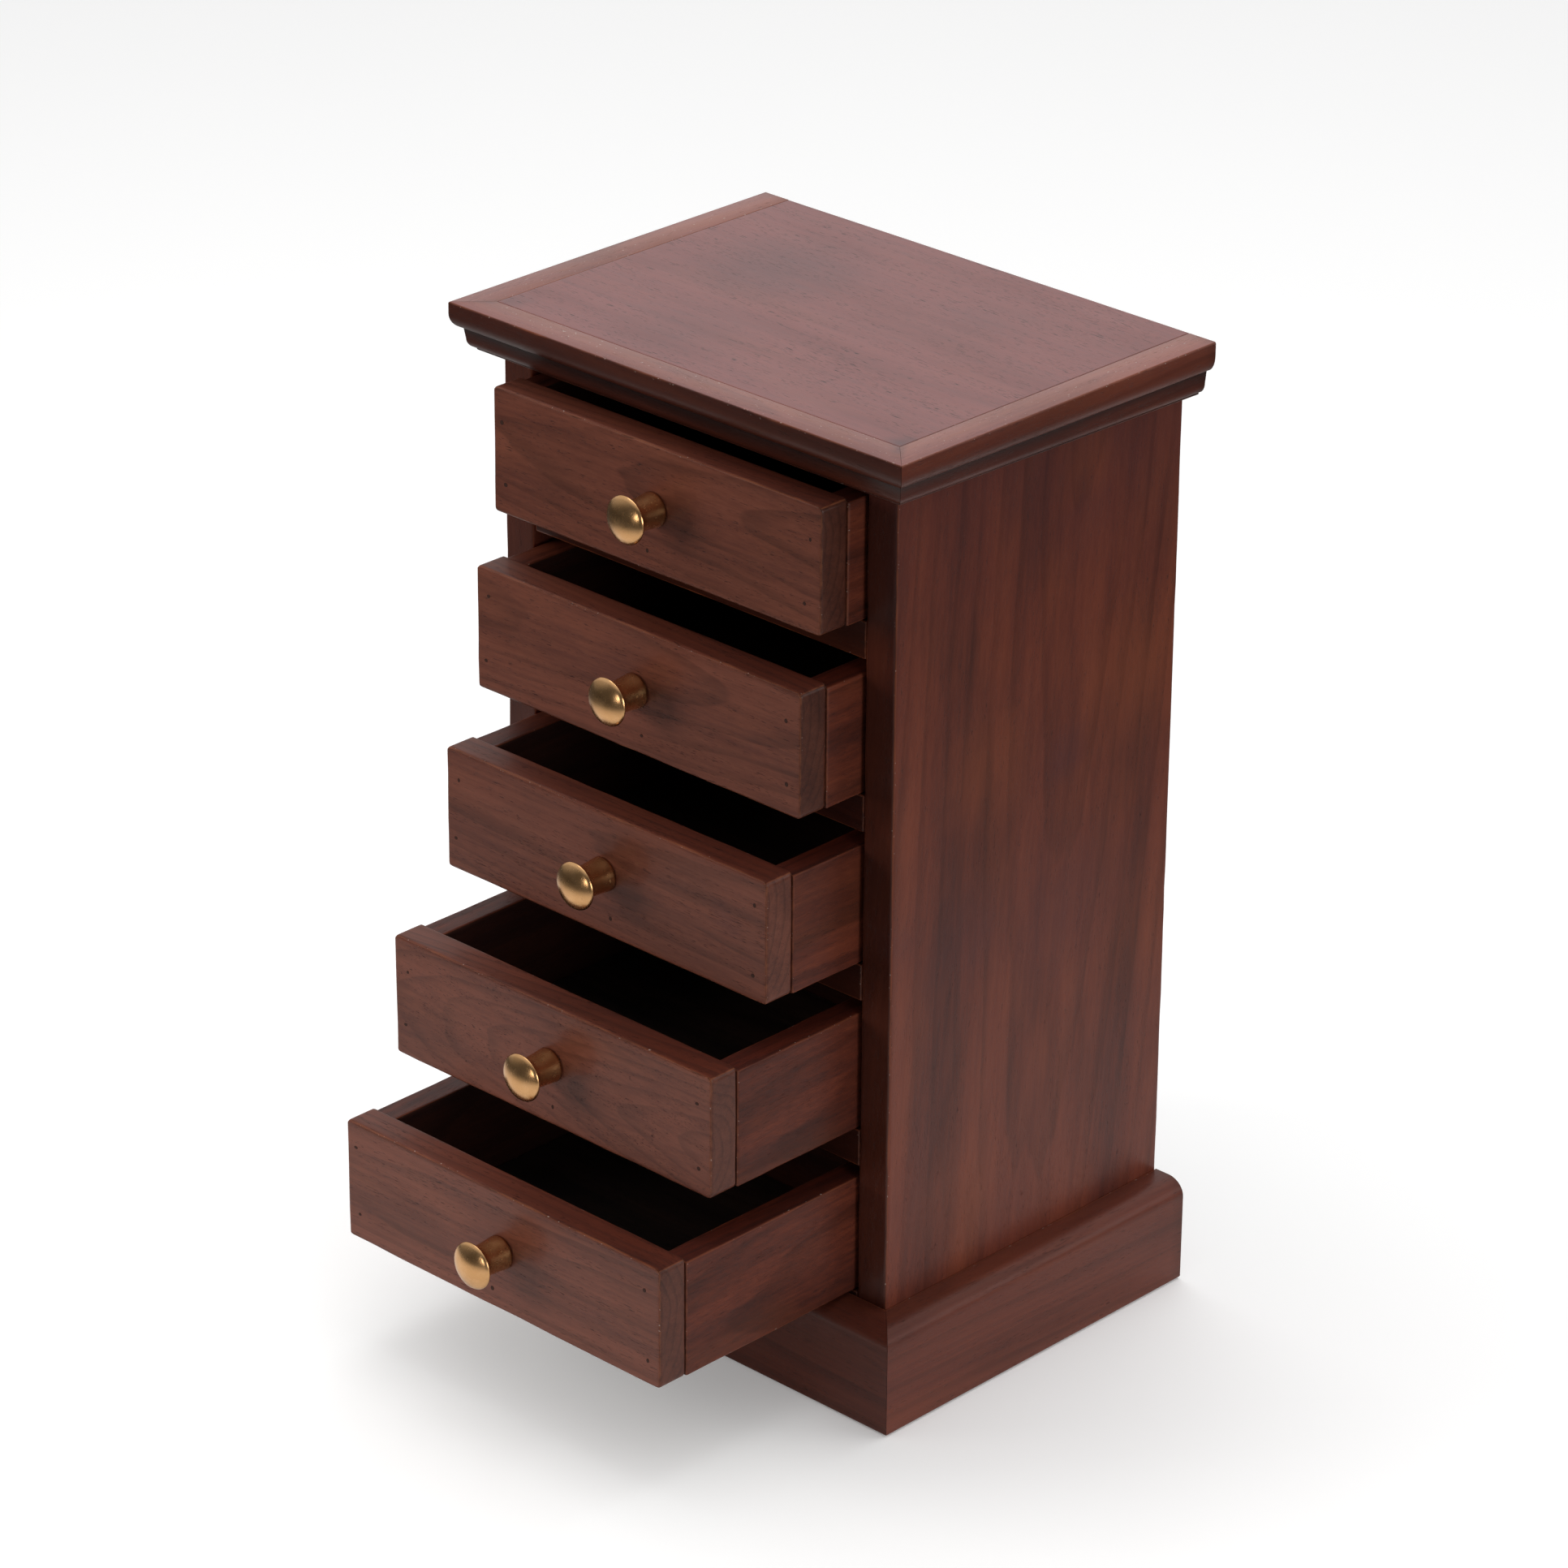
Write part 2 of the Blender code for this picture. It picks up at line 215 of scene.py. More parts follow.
class Material:
    """A node material under construction."""

    def __init__(self, name):
        self.data = bpy.data.materials.new(name)
        self.data.use_nodes = True
        self.tree = self.data.node_tree
        self.tree.nodes.clear()
        self.output = self.tree.nodes.new("ShaderNodeOutputMaterial")

    def plug(self, socket, value):
        if isinstance(value, Value):
            self.tree.links.new(value.socket, socket)
        elif isinstance(value, tuple) and len(value) == 3 and socket.type == "RGBA":
            socket.default_value = (*value, 1.0)
        else:
            socket.default_value = value

    def node(self, kind, settings, *values, out=0, **named):
        """Add a node, set it up, fill its sockets in order and by name, and wrap one output."""
        item = self.tree.nodes.new(kind)
        for key, setting in settings.items():
            if key == "stops":
                for place, colour in setting[1:-1]:
                    item.color_ramp.elements.new(place).color = (*colour, 1.0)
                for index in (0, -1):
                    item.color_ramp.elements[index].position = setting[index][0]
                    item.color_ramp.elements[index].color = (*setting[index][1], 1.0)
            else:
                setattr(item, key, setting)
        for socket, value in zip(item.inputs, values):
            self.plug(socket, value)
        for key, value in named.items():
            self.plug(item.inputs[key.replace("_", " ")], value)
        return Value(self, item.outputs[out])

    def attribute(self, name, out="Fac"):
        return self.node("ShaderNodeAttribute", {"attribute_name": name}, out=out)

    def vector(self, x, y, z):
        return self.node("ShaderNodeCombineXYZ", {}, x, y, z)

    def noise(self, vector, detail=2.0, roughness=0.5, scale=1.0):
        return self.node(
            "ShaderNodeTexNoise", {}, Vector=vector, Scale=scale, Detail=detail, Roughness=roughness
        )

    def mix(self, factor, first, second, blend="MIX"):
        """Blend two colours."""
        item = self.tree.nodes.new("ShaderNodeMix")
        item.data_type = "RGBA"
        item.blend_type = blend
        for index, value in ((0, factor), (6, first), (7, second)):
            self.plug(item.inputs[index], value)
        return Value(self, item.outputs[2])

    def bump(self, height, strength, distance):
        return self.node("ShaderNodeBump", {}, Height=height, Strength=strength, Distance=distance)

    def finish(self, **sockets):
        shader = self.node("ShaderNodeBsdfPrincipled", {}, **sockets)
        self.tree.links.new(shader.socket, self.output.inputs["Surface"])
        return self.data


print("shader helpers ready")

# %% [markdown]
# ## Wood
#
# Real boards are cut from a log, so the grain on a face, an edge and an end belongs together. The
# shader works the same way. Every board carries a `grain` attribute: its points in millimetres
# within an imagined log, X along the log and the pith on the X axis. Growth rings are then the
# distance from that axis, bent by slow noise; fibres are noise stretched a hundred times along the
# log; pores are short dark dashes. More attributes mark arrises, end grain, raw edges, painted shade
# on faces that stand in shadow, dirt and painted shade in hollows, and places where the stain is
# glowing, smudged or chipped; two of the smudges are painted shade.

# %% Marks in the grain
# The first colour is for smudges: pooled stain, and painted shade along the top of the right side.
SMUDGE_AND_PAINTED_SHADE = (0.055, 0.020, 0.026)
BARE_CHIP = (0.46, 0.36, 0.31)
# The last colour is a near black: painted shade on drawers' inner faces and, with old dirt, in moulding
# hollows.
DIRT_AND_PAINTED_SHADE = (0.005, 0.0035, 0.0035)


def grain_marks(wood, ring_mm, wide_mm):
    """The marks that a log leaves on its boards, each about 0 to 1, by name."""
    split = wood.tree.nodes.new("ShaderNodeSeparateXYZ")
    wood.plug(split.inputs[0], wood.attribute("grain", "Vector"))
    along, across, deep = (Value(wood, socket) for socket in split.outputs)

    def stretched(length, width, detail=2.0, roughness=0.5, shift=0.0):
        place = wood.vector(along * (1 / length) + shift, across * (1 / width), deep * (1 / width))
        return wood.noise(place, detail, roughness)

    drift = (stretched(150.0, 32.0) - 0.5) * 8.0
    sway = (stretched(90.0, 20.0, shift=7.3) - 0.5) * 5.0
    radius = ((across + drift) ** 2.0 + (deep + sway) ** 2.0) ** 0.5
    ring = (radius * (1 / ring_mm) + stretched(200.0, 12.0, shift=3.1) * 0.6).fraction()
    late = ring.between(0.55, 0.93) * (1.0 - ring.between(0.94, 1.0))
    pore_bed = stretched(50.0, 2.4, shift=9.0).between(0.36, 0.62)
    pore = stretched(3.0, 0.24, detail=1.0, roughness=0.4, shift=1.0).between(0.61, 0.70)
    return {
        "late": late * stretched(70.0, 9.0, shift=6.0),
        "wide": stretched(320.0, wide_mm, shift=11.0).between(0.28, 0.72),
        "narrow": stretched(170.0, 1.6, detail=3.0, roughness=0.6, shift=5.0).between(0.28, 0.72),
        "fibre": stretched(16.0, 0.32, detail=3.0, roughness=0.7, shift=2.0),
        "fleck": stretched(5.0, 1.3, detail=3.0, roughness=0.65, shift=21.0),
        "pore": pore * pore_bed,
        "blotch": stretched(60.0, 16.0, detail=3.0, shift=13.0).between(0.42, 0.72),
        "glow": stretched(48.0, 18.0, shift=27.0).between(0.50, 0.74),
        "smear": stretched(12.0, 7.0, shift=31.0),
        "wear_and_highlight": stretched(14.0, 3.0, detail=3.0, shift=4.0),
        "chip": stretched(1.1, 0.7, detail=1.0, shift=8.0).between(0.72, 0.76),
        "wave": stretched(40.0, 14.0, detail=1.0, shift=15.0),
    }


print("grain marks ready")

# %% [markdown]
# One function turns those marks into a stained and lacquered wood. The stain is a ramp from dark to pale
# along the sum of the bands, streaks and fibres. Late wood, pores, end grain and raw edges darken it.
# Painted shade darkens faces that stand in shadow, and a near black paints shade on the inner faces
# of the drawers and, with old dirt, in the hollows of the mouldings. Smudges, rubbed arrises and chips
# are laid over it, as they are on the real wood, but two wide smudges are painted shade and the rubbed
# arrises are partly a painted highlight. A lip can have a second stain and more lacquer, because it was
# finished with the top panel.

# %% Wood material


def stain_ramp(wood, tone, tones):
    pale, middle, dark = tones
    return wood.node("ShaderNodeValToRGB", {"stops": [(0.1, dark), (0.5, middle), (0.9, pale)]}, tone)


def make_wood(
    name, tones, rub, polish, coat, coat_polish=0.22, sheen=0.25, lid=None, ring_mm=4.5, ring_depth=0.25,
    pore_depth=0.4, wide_mm=12.0, broad=0.5, streak=0.35, fine=0.4, mottle=0.15, stain_depth=0.2,
    glow_depth=0.2, rub_and_highlight_depth=0.6,
):
    """A stained wood. tones are pale, middle and dark; polish is the roughness, coat the lacquer.

    rub is the colour of arrises rubbed lighter, partly wear and partly a painted highlight,
    and lid the tones of a lip that was finished with the top. The names that end in depth, and broad,
    streak, fine and mottle, say how strongly each mark shows.
    """
    wood = Material(name)
    mark = grain_marks(wood, ring_mm, wide_mm)
    edge, end, raw, shade = (wood.attribute(title) for title in ("edge", "end", "raw", "shade"))

    bands = (mark["wide"] - 0.5) * broad + (mark["narrow"] - 0.5) * streak
    tone = 0.5 + bands + (mark["fibre"] - 0.5) * fine + (mark["fleck"] - 0.5) * mottle * 4.0
    stain = stain_ramp(wood, tone, tones)
    lacquer = coat * (1.0 - raw) if coat else 0.0
    if lid:
        on_lid = wood.attribute("lid")
        stain = wood.mix(on_lid, stain, stain_ramp(wood, tone, lid))
        lacquer = on_lid * 0.45 + coat
    warm = mark["glow"] * glow_depth + wood.attribute("glow") * 0.45
    stain = wood.mix(warm.clamped(), stain, rub)

    dim = (1.0 - mark["late"] * ring_depth * 2.0) * (1.0 - mark["pore"] * pore_depth) * (1.0 - end * 0.45)
    # Faces that stand in shadow are darkened here by the shade attribute: painted shade.
    dim = dim * (1.0 - mark["blotch"] * stain_depth) * (1.0 - shade) * (1.0 - raw * 0.42)
    tint = wood.vector(dim, dim * (1.0 - raw * 0.40), dim * (1.0 - raw * 0.60))
    colour = wood.mix(1.0, stain, tint, "MULTIPLY")

    # Smudges are pooled stain, but two wide ones along the top of the right side are painted shade.
    smudge = wood.attribute("smudge") * (0.6 + mark["smear"])
    colour = wood.mix(smudge.clamped() * 0.75, colour, SMUDGE_AND_PAINTED_SHADE)
    # Arrises are rubbed lighter: wear, and partly a painted highlight where they catch the light.
    rubbed_and_highlit = (edge * (0.45 + mark["wear_and_highlight"])).between(0.55, 1.05)
    colour = wood.mix(rubbed_and_highlit * rub_and_highlight_depth, colour, rub)
    chip = mark["chip"] * edge.between(0.4, 0.8) + wood.attribute("chip")
    colour = wood.mix(chip.clamped() * 0.7, colour, BARE_CHIP)
    # Near black: painted shade on drawers' inner faces and, with old dirt, in the hollows of the mouldings.
    colour = wood.mix(wood.attribute("grime") * 0.9, colour, DIRT_AND_PAINTED_SHADE)

    shine = polish + (mark["fibre"] - 0.5) * 0.12 + (mark["fleck"] - 0.5) * 0.10 + mark["pore"] * 0.2
    shine = shine + mark["blotch"] * 0.05 + raw * 0.3
    height = mark["fibre"] * 0.35 - mark["pore"] + mark["narrow"] * 0.15 + mark["fleck"] * 0.5
    return wood.finish(
        Base_Color=colour,
        Roughness=shine.clamped(),
        Coat_Weight=lacquer,
        Coat_Roughness=coat_polish,
        Specular_IOR_Level=sheen,
        Normal=wood.bump(height + mark["wave"] * 4.0, 0.4, 0.00012),
    )


print("wood maker ready")

# %% [markdown]
# Five woods come from it. The case is smooth and reddish with wide bands, the top is paler under a
# thicker lacquer, the fronts are browner with fine pores, the drawer boxes are redder and duller, and the
# insides are nearly black.

# %% The five woods
TOP_TONES = (0.255, 0.070, 0.060), (0.215, 0.055, 0.050), (0.160, 0.041, 0.041)
LID_TONES = (0.330, 0.105, 0.072), (0.235, 0.065, 0.052), (0.165, 0.043, 0.040)
CASE_WOOD = make_wood(
    "case_wood", ((0.180, 0.044, 0.0225), (0.132, 0.031, 0.0180), (0.080, 0.021, 0.0150)),
    rub=(0.250, 0.064, 0.024), polish=0.36, coat=0.06, lid=LID_TONES, ring_mm=8.5, ring_depth=0.17,
    wide_mm=20.0, broad=0.55, streak=0.20, fine=0.30, mottle=0.08, stain_depth=0.22, glow_depth=0.15,
)
TOP_WOOD = make_wood(
    "top_wood", TOP_TONES, rub=(0.33, 0.105, 0.060), polish=0.36, coat=0.50, ring_mm=6.0, ring_depth=0.06,
    pore_depth=0.85, wide_mm=16.0, broad=0.22, streak=0.16, fine=0.40, mottle=0.15, stain_depth=0.10,
    glow_depth=0.10,
)
FRONT_WOOD = make_wood(
    "front_wood", ((0.176, 0.054, 0.032), (0.136, 0.040, 0.0235), (0.090, 0.026, 0.0170)),
    rub=(0.34, 0.110, 0.045), polish=0.42, coat=0.14, coat_polish=0.15, sheen=0.2, ring_mm=3.2,
    ring_depth=0.22, pore_depth=0.65, broad=0.34, streak=0.30, fine=0.45, mottle=0.14, stain_depth=0.16,
    glow_depth=0.08, rub_and_highlight_depth=0.45,
)
DRAWER_WOOD = make_wood(
    "drawer_wood", ((0.165, 0.038, 0.018), (0.106, 0.024, 0.013), (0.060, 0.016, 0.011)),
    rub=(0.24, 0.064, 0.025), polish=0.44, coat=0.03, sheen=0.2, broad=0.40, streak=0.25, mottle=0.20,
    rub_and_highlight_depth=0.5,
)
INSIDE_WOOD = make_wood(
    "inside_wood", ((0.040, 0.020, 0.015), (0.026, 0.014, 0.011), (0.014, 0.009, 0.008)),
    rub=(0.05, 0.024, 0.015), polish=0.62, coat=0.0,
)
WOODS = CASE_WOOD, TOP_WOOD, FRONT_WOOD, DRAWER_WOOD, INSIDE_WOOD
print("woods", [material.name for material in WOODS])

# %% [markdown]
# ## Brass, steel and filler
#
# The knobs are solid brass, polished on the lathe and then handled: mostly mirror-like, with fine
# scratches and a little darkening where fingers don't reach. Their screws are plain steel. The nail
# heads are punched under the surface and filled with dark wax.

# %% Metals and filler


def make_brass():
    brass = Material("polished_brass")
    place = brass.node("ShaderNodeTexCoord", {}, out="Object")
    cloud = brass.noise(place, 3.0, 0.6, scale=260.0)
    split = brass.tree.nodes.new("ShaderNodeSeparateXYZ")
    brass.plug(split.inputs[0], place)
    x, y, z = (Value(brass, socket) for socket in split.outputs)
    scratch = brass.noise(brass.vector(x * 900.0, y * 9000.0, z * 900.0), 3.0, 0.7)
    score = brass.noise(brass.vector(x * 2600.0, y * 700.0, z * 500.0), 2.0, 0.5).between(0.66, 0.72)
    colour = brass.mix(cloud.between(0.35, 0.75), (0.62, 0.345, 0.150), (0.70, 0.405, 0.190))
    colour = brass.mix(brass.attribute("grime") * 0.6, colour, (0.20, 0.095, 0.035))
    shine = 0.20 + cloud * 0.10 + score * 0.12
    height = scratch * 0.4 - score * 0.5 + cloud * 0.8
    skin = brass.bump(height, 0.22, 0.00005)
    return brass.finish(Base_Color=colour, Metallic=1.0, Roughness=shine.clamped(), Normal=skin)


def make_steel():
    steel = Material("screw_steel")
    place = steel.node("ShaderNodeTexCoord", {}, out="Object")
    cloud = steel.noise(place, 4.0, 0.6, scale=420.0)
    colour = steel.mix(cloud.between(0.4, 0.7), (0.30, 0.29, 0.27), (0.52, 0.51, 0.49))
    skin = steel.bump(cloud, 0.2, 0.00005)
    shine = (0.28 + cloud * 0.25).clamped()
    return steel.finish(Base_Color=colour, Metallic=1.0, Roughness=shine, Normal=skin)


def make_filler():
    filler = Material("nail_filler")
    place = filler.node("ShaderNodeTexCoord", {}, out="Object")
    cloud = filler.noise(place, 3.0, 0.6, scale=900.0)
    colour = filler.mix(cloud, (0.024, 0.014, 0.012), (0.060, 0.026, 0.018))
    skin = filler.bump(cloud, 0.4, 0.0001)
    shine = (0.60 + cloud * 0.3).clamped()
    return filler.finish(Base_Color=colour, Roughness=shine, Specular_IOR_Level=0.15, Normal=skin)


BRASS = make_brass()
STEEL = make_steel()
FILLER = make_filler()
print("metals ready")

# %% [markdown]
# ## Boards
#
# A hand-made board is a box whose arrises were sanded, more in one place than in another. A Bevel
# modifier gives an even edge, which looks machined. Here a board starts as a lattice of points on a
# box, with lines close together near the edges. Each point is pulled onto a rounded box whose radius
# changes slowly, and the faces get a very slight wave.

# %% Board maker
LATTICE_REACH = 2.2 * MM  # how far from each edge the lattice lines are close together
LATTICE_STEP = 7.0 * MM
END_GRAIN_REACH = 0.25 * MM  # how far end grain's darker stain creeps round onto the faces


def lattice_lines(length, reach, step):
    """Positions across one side of a board, from minus half its length to plus half."""
    near = [reach * (index / 5) ** 1.4 for index in range(6)]
    count = max(1, round((length - 2 * reach) / step))
    middle = [reach + (length - 2 * reach) * index / count for index in range(1, count)]
    return [value - length / 2 for value in near + middle + [length - value for value in reversed(near)]]


def lattice_shell(lines):
    """Points and quads on the outside of a three-way lattice, faces outward."""
    last = [len(values) - 1 for values in lines]
    index = {}
    points = []

    def point(key):
        if key not in index:
            index[key] = len(points)
            points.append([lines[axis][key[axis]] for axis in range(3)])
        return index[key]

    faces = []
    for axis in range(3):
        first, second = (axis + 1) % 3, (axis + 2) % 3
        for end in (0, last[axis]):
            for i in range(last[first]):
                for j in range(last[second]):
                    corner = []
                    for step in ((0, 0), (1, 0), (1, 1), (0, 1)):
                        key = [0, 0, 0]
                        key[axis] = end
                        key[first] = i + step[0]
                        key[second] = j + step[1]
                        corner.append(point(tuple(key)))
                    faces.append(corner if end else corner[::-1])
    return np.array(points), faces


def add_attribute(mesh, name, values):
    kind = "FLOAT_VECTOR" if values.ndim == 2 else "FLOAT"
    attribute = mesh.attributes.new(name, kind, "POINT")
    field = "vector" if values.ndim == 2 else "value"
    attribute.data.foreach_set(field, values.astype(np.float32).ravel())


def new_piece(name, points, faces, material):
    mesh = bpy.data.meshes.new(name)
    mesh.from_pydata([tuple(map(float, point)) for point in points], [], faces)
    mesh.materials.append(material)
    mesh.update()
    item = bpy.data.objects.new(name, mesh)
    bpy.context.scene.collection.objects.link(item)
    mesh.shade_smooth()
    return item


def log_place(points, grain_axis, face_axis, pith, tilt):
    """Points in millimetres within the log: X along the grain, the pith on the X axis.

    pith is (across, deep): how far the board's middle lies from the pith. tilt leans the board in the
    log, which draws the rings out into long arches on its face.
    """
    width_axis = 3 - grain_axis - face_axis
    local = np.stack([points[:, grain_axis], points[:, width_axis], points[:, face_axis]], axis=1) / MM
    local[:, 1] += pith[0] + local[:, 0] * tilt[0]
    local[:, 2] += pith[1] + local[:, 0] * tilt[1]
    return local


def wavy(point, scale, seed):
    return noise.noise(Vector(point) * scale + Vector((seed, seed * 0.37, -seed)))


def spread(points, spots):
    """How strongly soft round spots (x, y, z, radius, amount), in millimetres, mark each point."""
    total = np.zeros(len(points))
    for x, y, z, radius, amount in spots:
        gap = np.linalg.norm(points / MM - np.array((x, y, z)), axis=1)
        total = np.maximum(total, amount * np.clip(1.25 - gap / radius, 0.0, 1.0))
    return total


def side_face(points, half, face):
    """1 on one face of a lattice, which is named by its axis and sign, and 0 elsewhere."""
    axis, sign = face
    return (points[:, axis] * sign > half[axis] - 1e-7).astype(float)


def round_face_corners(points, distance, half, options):
    """Pull a lattice's face corners onto arcs of radius `corner`, as on a sanded drawer front."""
    face_axis = options["face_axis"]
    corner = options["corner"]
    radius = options["radius"]
    shaped = points.copy()
    flat = [axis for axis in range(3) if axis != face_axis]
    plane = shaped[:, flat]
    inner = half[flat] - corner
    nearest = np.clip(plane, -inner, inner)
    reach = plane - nearest
    size = np.linalg.norm(reach, axis=1)
    square = np.abs(reach).max(axis=1)
    keep = size > 1e-9
    plane[keep] = nearest[keep] + reach[keep] * (square[keep] / size[keep])[:, None]
    shaped[:, flat] = plane
    profile = np.linalg.norm(plane - nearest, axis=1)
    depth = half[face_axis] - np.abs(shaped[:, face_axis])
    near_rim = np.clip(1 - depth / radius, 0, 1)
    draw = radius * (1 - np.sqrt(np.clip(1 - near_rim**2, 0, 1)))
    rim = np.abs(distance[:, flat]).min(axis=1) < 1e-9
    outward = np.zeros_like(plane)
    outward[keep] = (plane[keep] - nearest[keep]) / np.maximum(profile[keep], 1e-9)[:, None]
    shaped[:, flat] -= outward * (draw * rim)[:, None]
    return shaped


def round_arrises(shaped, spots, half, options):
    """Pull points onto a box whose edge radius changes slowly, with a very slight wave in its faces."""
    seed = options["seed"]
    result = np.empty_like(shaped)
    for row, point in enumerate(shaped):
        local = options["radius"] * (1.0 + 0.55 * wavy(spots[row], 90.0, seed))
        inner = half - local
        nearest = np.clip(point, -inner, inner)
        reach = point - nearest
        size = np.linalg.norm(reach)
        if size > 1e-9:
            height = min(size, local) if options["corner"] else local
            lift = options["wave"] * wavy(spots[row], 26.0, seed + 3.0)
            result[row] = nearest + reach / size * (height + lift)
        else:
            result[row] = point
    return result


def add_board_marks(mesh, points, half, centre, options):
    """Store where each point lies in the log, how near an arris it is, where it is raw, and where painted
    shade, dirt and spots mark it.
    """
    distance = half - np.abs(points)
    spans = np.sort(distance, axis=1)
    grain_axis = options["grain_axis"]
    end = np.clip(1.0 - distance[:, grain_axis] / END_GRAIN_REACH, 0.0, 1.0)
    place = log_place(points, grain_axis, options["face_axis"], options["pith"], options["tilt"])
    add_attribute(mesh, "grain", place)
    add_attribute(mesh, "edge", np.clip(1.0 - spans[:, 1] / options["rub_reach"], 0.0, 1.0))
    add_attribute(mesh, "end", end * options["end_share"])
    for title in ("grime", "raw", "shade"):
        marks = [side_face(points, half, (axis, sign)) * amount for axis, sign, amount in options[title]]
        marked = np.max([np.zeros(len(points))] + marks, axis=0)
        if title == "raw":
            marked = marked * np.clip(0.6 + points[:, 0] / (120 * MM), 0.1, 1.0)
        add_attribute(mesh, title, marked)
    for title, spots in options["spots"].items():
        add_attribute(mesh, title, spread(points + centre, spots))


PLAIN_BOARD = {
    "radius": 0.7 * MM, "corner": None, "wave": 0.05 * MM, "rub_reach": 1.5 * MM, "grime": (), "raw": (),
    "shade": (), "end_share": 1.0, "spots": {},
}


def make_board(node, body, slot, material, grain_axis, face_axis, grow=None, **given):
    """A detailed board in the place of a CAD node, riding on its body.

    given holds its place in the log and what differs from PLAIN_BOARD. grime, raw
    and shade list faces as (axis, sign, amount): near black with painted shade, unlacquered, or
    darkened with painted shade. spots gives soft marks for the shader's smudge,
    glow and chip.
    """
    options = {**PLAIN_BOARD, **given, "grain_axis": grain_axis, "face_axis": face_axis}
    low, high = (np.array(value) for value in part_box(node))
    if grow:
        low = low - np.array(grow[0])
        high = high + np.array(grow[1])
    half = (high - low) / 2
    centre = (low + high) / 2
    lines = [lattice_lines(2 * size, min(LATTICE_REACH, size * 0.9), LATTICE_STEP) for size in half]
    points, faces = lattice_shell(lines)
    shaped = points
    if options["corner"]:
        shaped = round_face_corners(points, half - np.abs(points), half, options)
    rounded = round_arrises(shaped, points + centre, half, options)
    item = new_piece(f"{node}_board", rounded + centre, faces, material)
    add_board_marks(item.data, points, half, centre, options)
    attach(item, body)
    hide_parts(node)


X, Y, Z = range(3)
dice = random.Random(11)


def log_cut(arch=0.05):
    """A place in the log for the next board: how far off the pith it is, and how it leans."""
    return {
        "pith": (dice.uniform(-18.0, 18.0), dice.uniform(28.0, 60.0)),
        "tilt": (dice.uniform(-0.02, 0.02), dice.uniform(-arch, arch)),
        "seed": dice.uniform(0.0, 50.0),
    }


print("board maker ready")

# %% [markdown]
# ## The case
#
# Two sides with upright grain, the shelves that the drawers run on, the bottom, a hidden top board, the
# back and the thin top panel. The front edges of the sides and shelves, and the tops of the shelves,
# are darkened with painted shade, for the shadow that the drawers and the cornice cast there.
#
# The stain was rubbed on by hand, so it is cloudy. Noise gives the small clouds, and the few large ones
# are placed: glows where the stain was wiped thin, smudges where it pooled, and two wide smudges along
# the top of the right side, which are painted shade under the cornice.

# %% Case sides
SIDE_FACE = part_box("side_panel_right")[1][0] / MM
# where on the right side, in millimetres: back from the origin, up, radius, amount
SIDE_GLOWS = [
    (25, 194, 17, 0.7), (92, 204, 24, 0.9), (66, 279, 12, 0.8), (100, 120, 20, 0.4), (18, 60, 22, 0.4),
]
# The first two, wide and above the side's top edge, are painted shade under the cornice; the rest are pooled
# stain.
SIDE_SMUDGES_AND_SHADE = [
    (30, 310, 62, 0.42), (90, 310, 66, 0.50), (68, 262, 20, 0.35), (60, 187, 9, 0.45), (22, 143, 18, 0.3),
    (60, 140, 26, 0.35), (-9, 150, 8, 0.3),
]
SIDE_CUTS = {
    "left": {"pith": (12.0, 44.0), "tilt": (0.01, 0.06), "seed": 21.0},
    "right": {"pith": (-10.5, 17.3), "tilt": (-0.08, -0.085), "seed": 4.0},
}
SIDE_CUTS["right"]["spots"] = {
    "glow": [(SIDE_FACE, *mark) for mark in SIDE_GLOWS],
    "smudge": [(SIDE_FACE, *mark) for mark in SIDE_SMUDGES_AND_SHADE],
}
# Each side's front edge is darkened with painted shade, for the shadow of the drawers and the cornice.
for side, cut in SIDE_CUTS.items():
    make_board(
        f"side_panel_{side}", "carcase", "case_wood", CASE_WOOD, Z, X, radius=0.9 * MM,
        shade=[(Y, -1, 0.55)], **cut,
    )
print("case sides", len(SIDE_CUTS))

# %% Shelves and back
SHELVES = ["bottom_board", "divider_1", "divider_2", "divider_3", "divider_4", "case_top_board"]
# Each shelf's front edge and top are darkened with painted shade, for the shadow under the drawers.
for shelf in SHELVES:
    make_board(
        shelf, "carcase", "case_wood", CASE_WOOD, X, Z, radius=0.5 * MM,
        shade=[(Y, -1, 0.75), (Z, 1, 0.6)], **log_cut(),
    )
make_board("back_panel", "carcase", "inside_wood", INSIDE_WOOD, Z, Y, radius=0.4 * MM, **log_cut())
print("shelves", len(SHELVES))

# %% [markdown]
# The top panel lies inside the cornice's broad lip. They meet in a hairline joint, so the panel grows by
# most of the gap that the solids keep. Its stain has a dark cloud near the middle and a little filler
# at each front corner.

# %% Top panel
HAIRLINE = 0.22 * MM
TOP_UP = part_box("top_panel")[1][2] / MM
# where on the top, in millimetres: right, back, radius, amount
TOP_SMUDGES = [
    (77, -12, 3.5, 0.8), (-76, -10, 5, 0.6), (-40, 63, 26, 0.50), (-25, 6, 22, 0.25), (30, 70, 18, 0.2),
]
make_board(
    "top_panel", "carcase", "top_wood", TOP_WOOD, X, Z, radius=0.12 * MM, rub_reach=0.3 * MM,
    grow=((HAIRLINE, HAIRLINE, 0.0), (HAIRLINE, 0.0, 0.0)),
    spots={"smudge": [(x, y, TOP_UP, radius, amount) for x, y, radius, amount in TOP_SMUDGES]},
    **log_cut(0.03),
)
print("top panel up to", round(TOP_UP, 1), "mm")
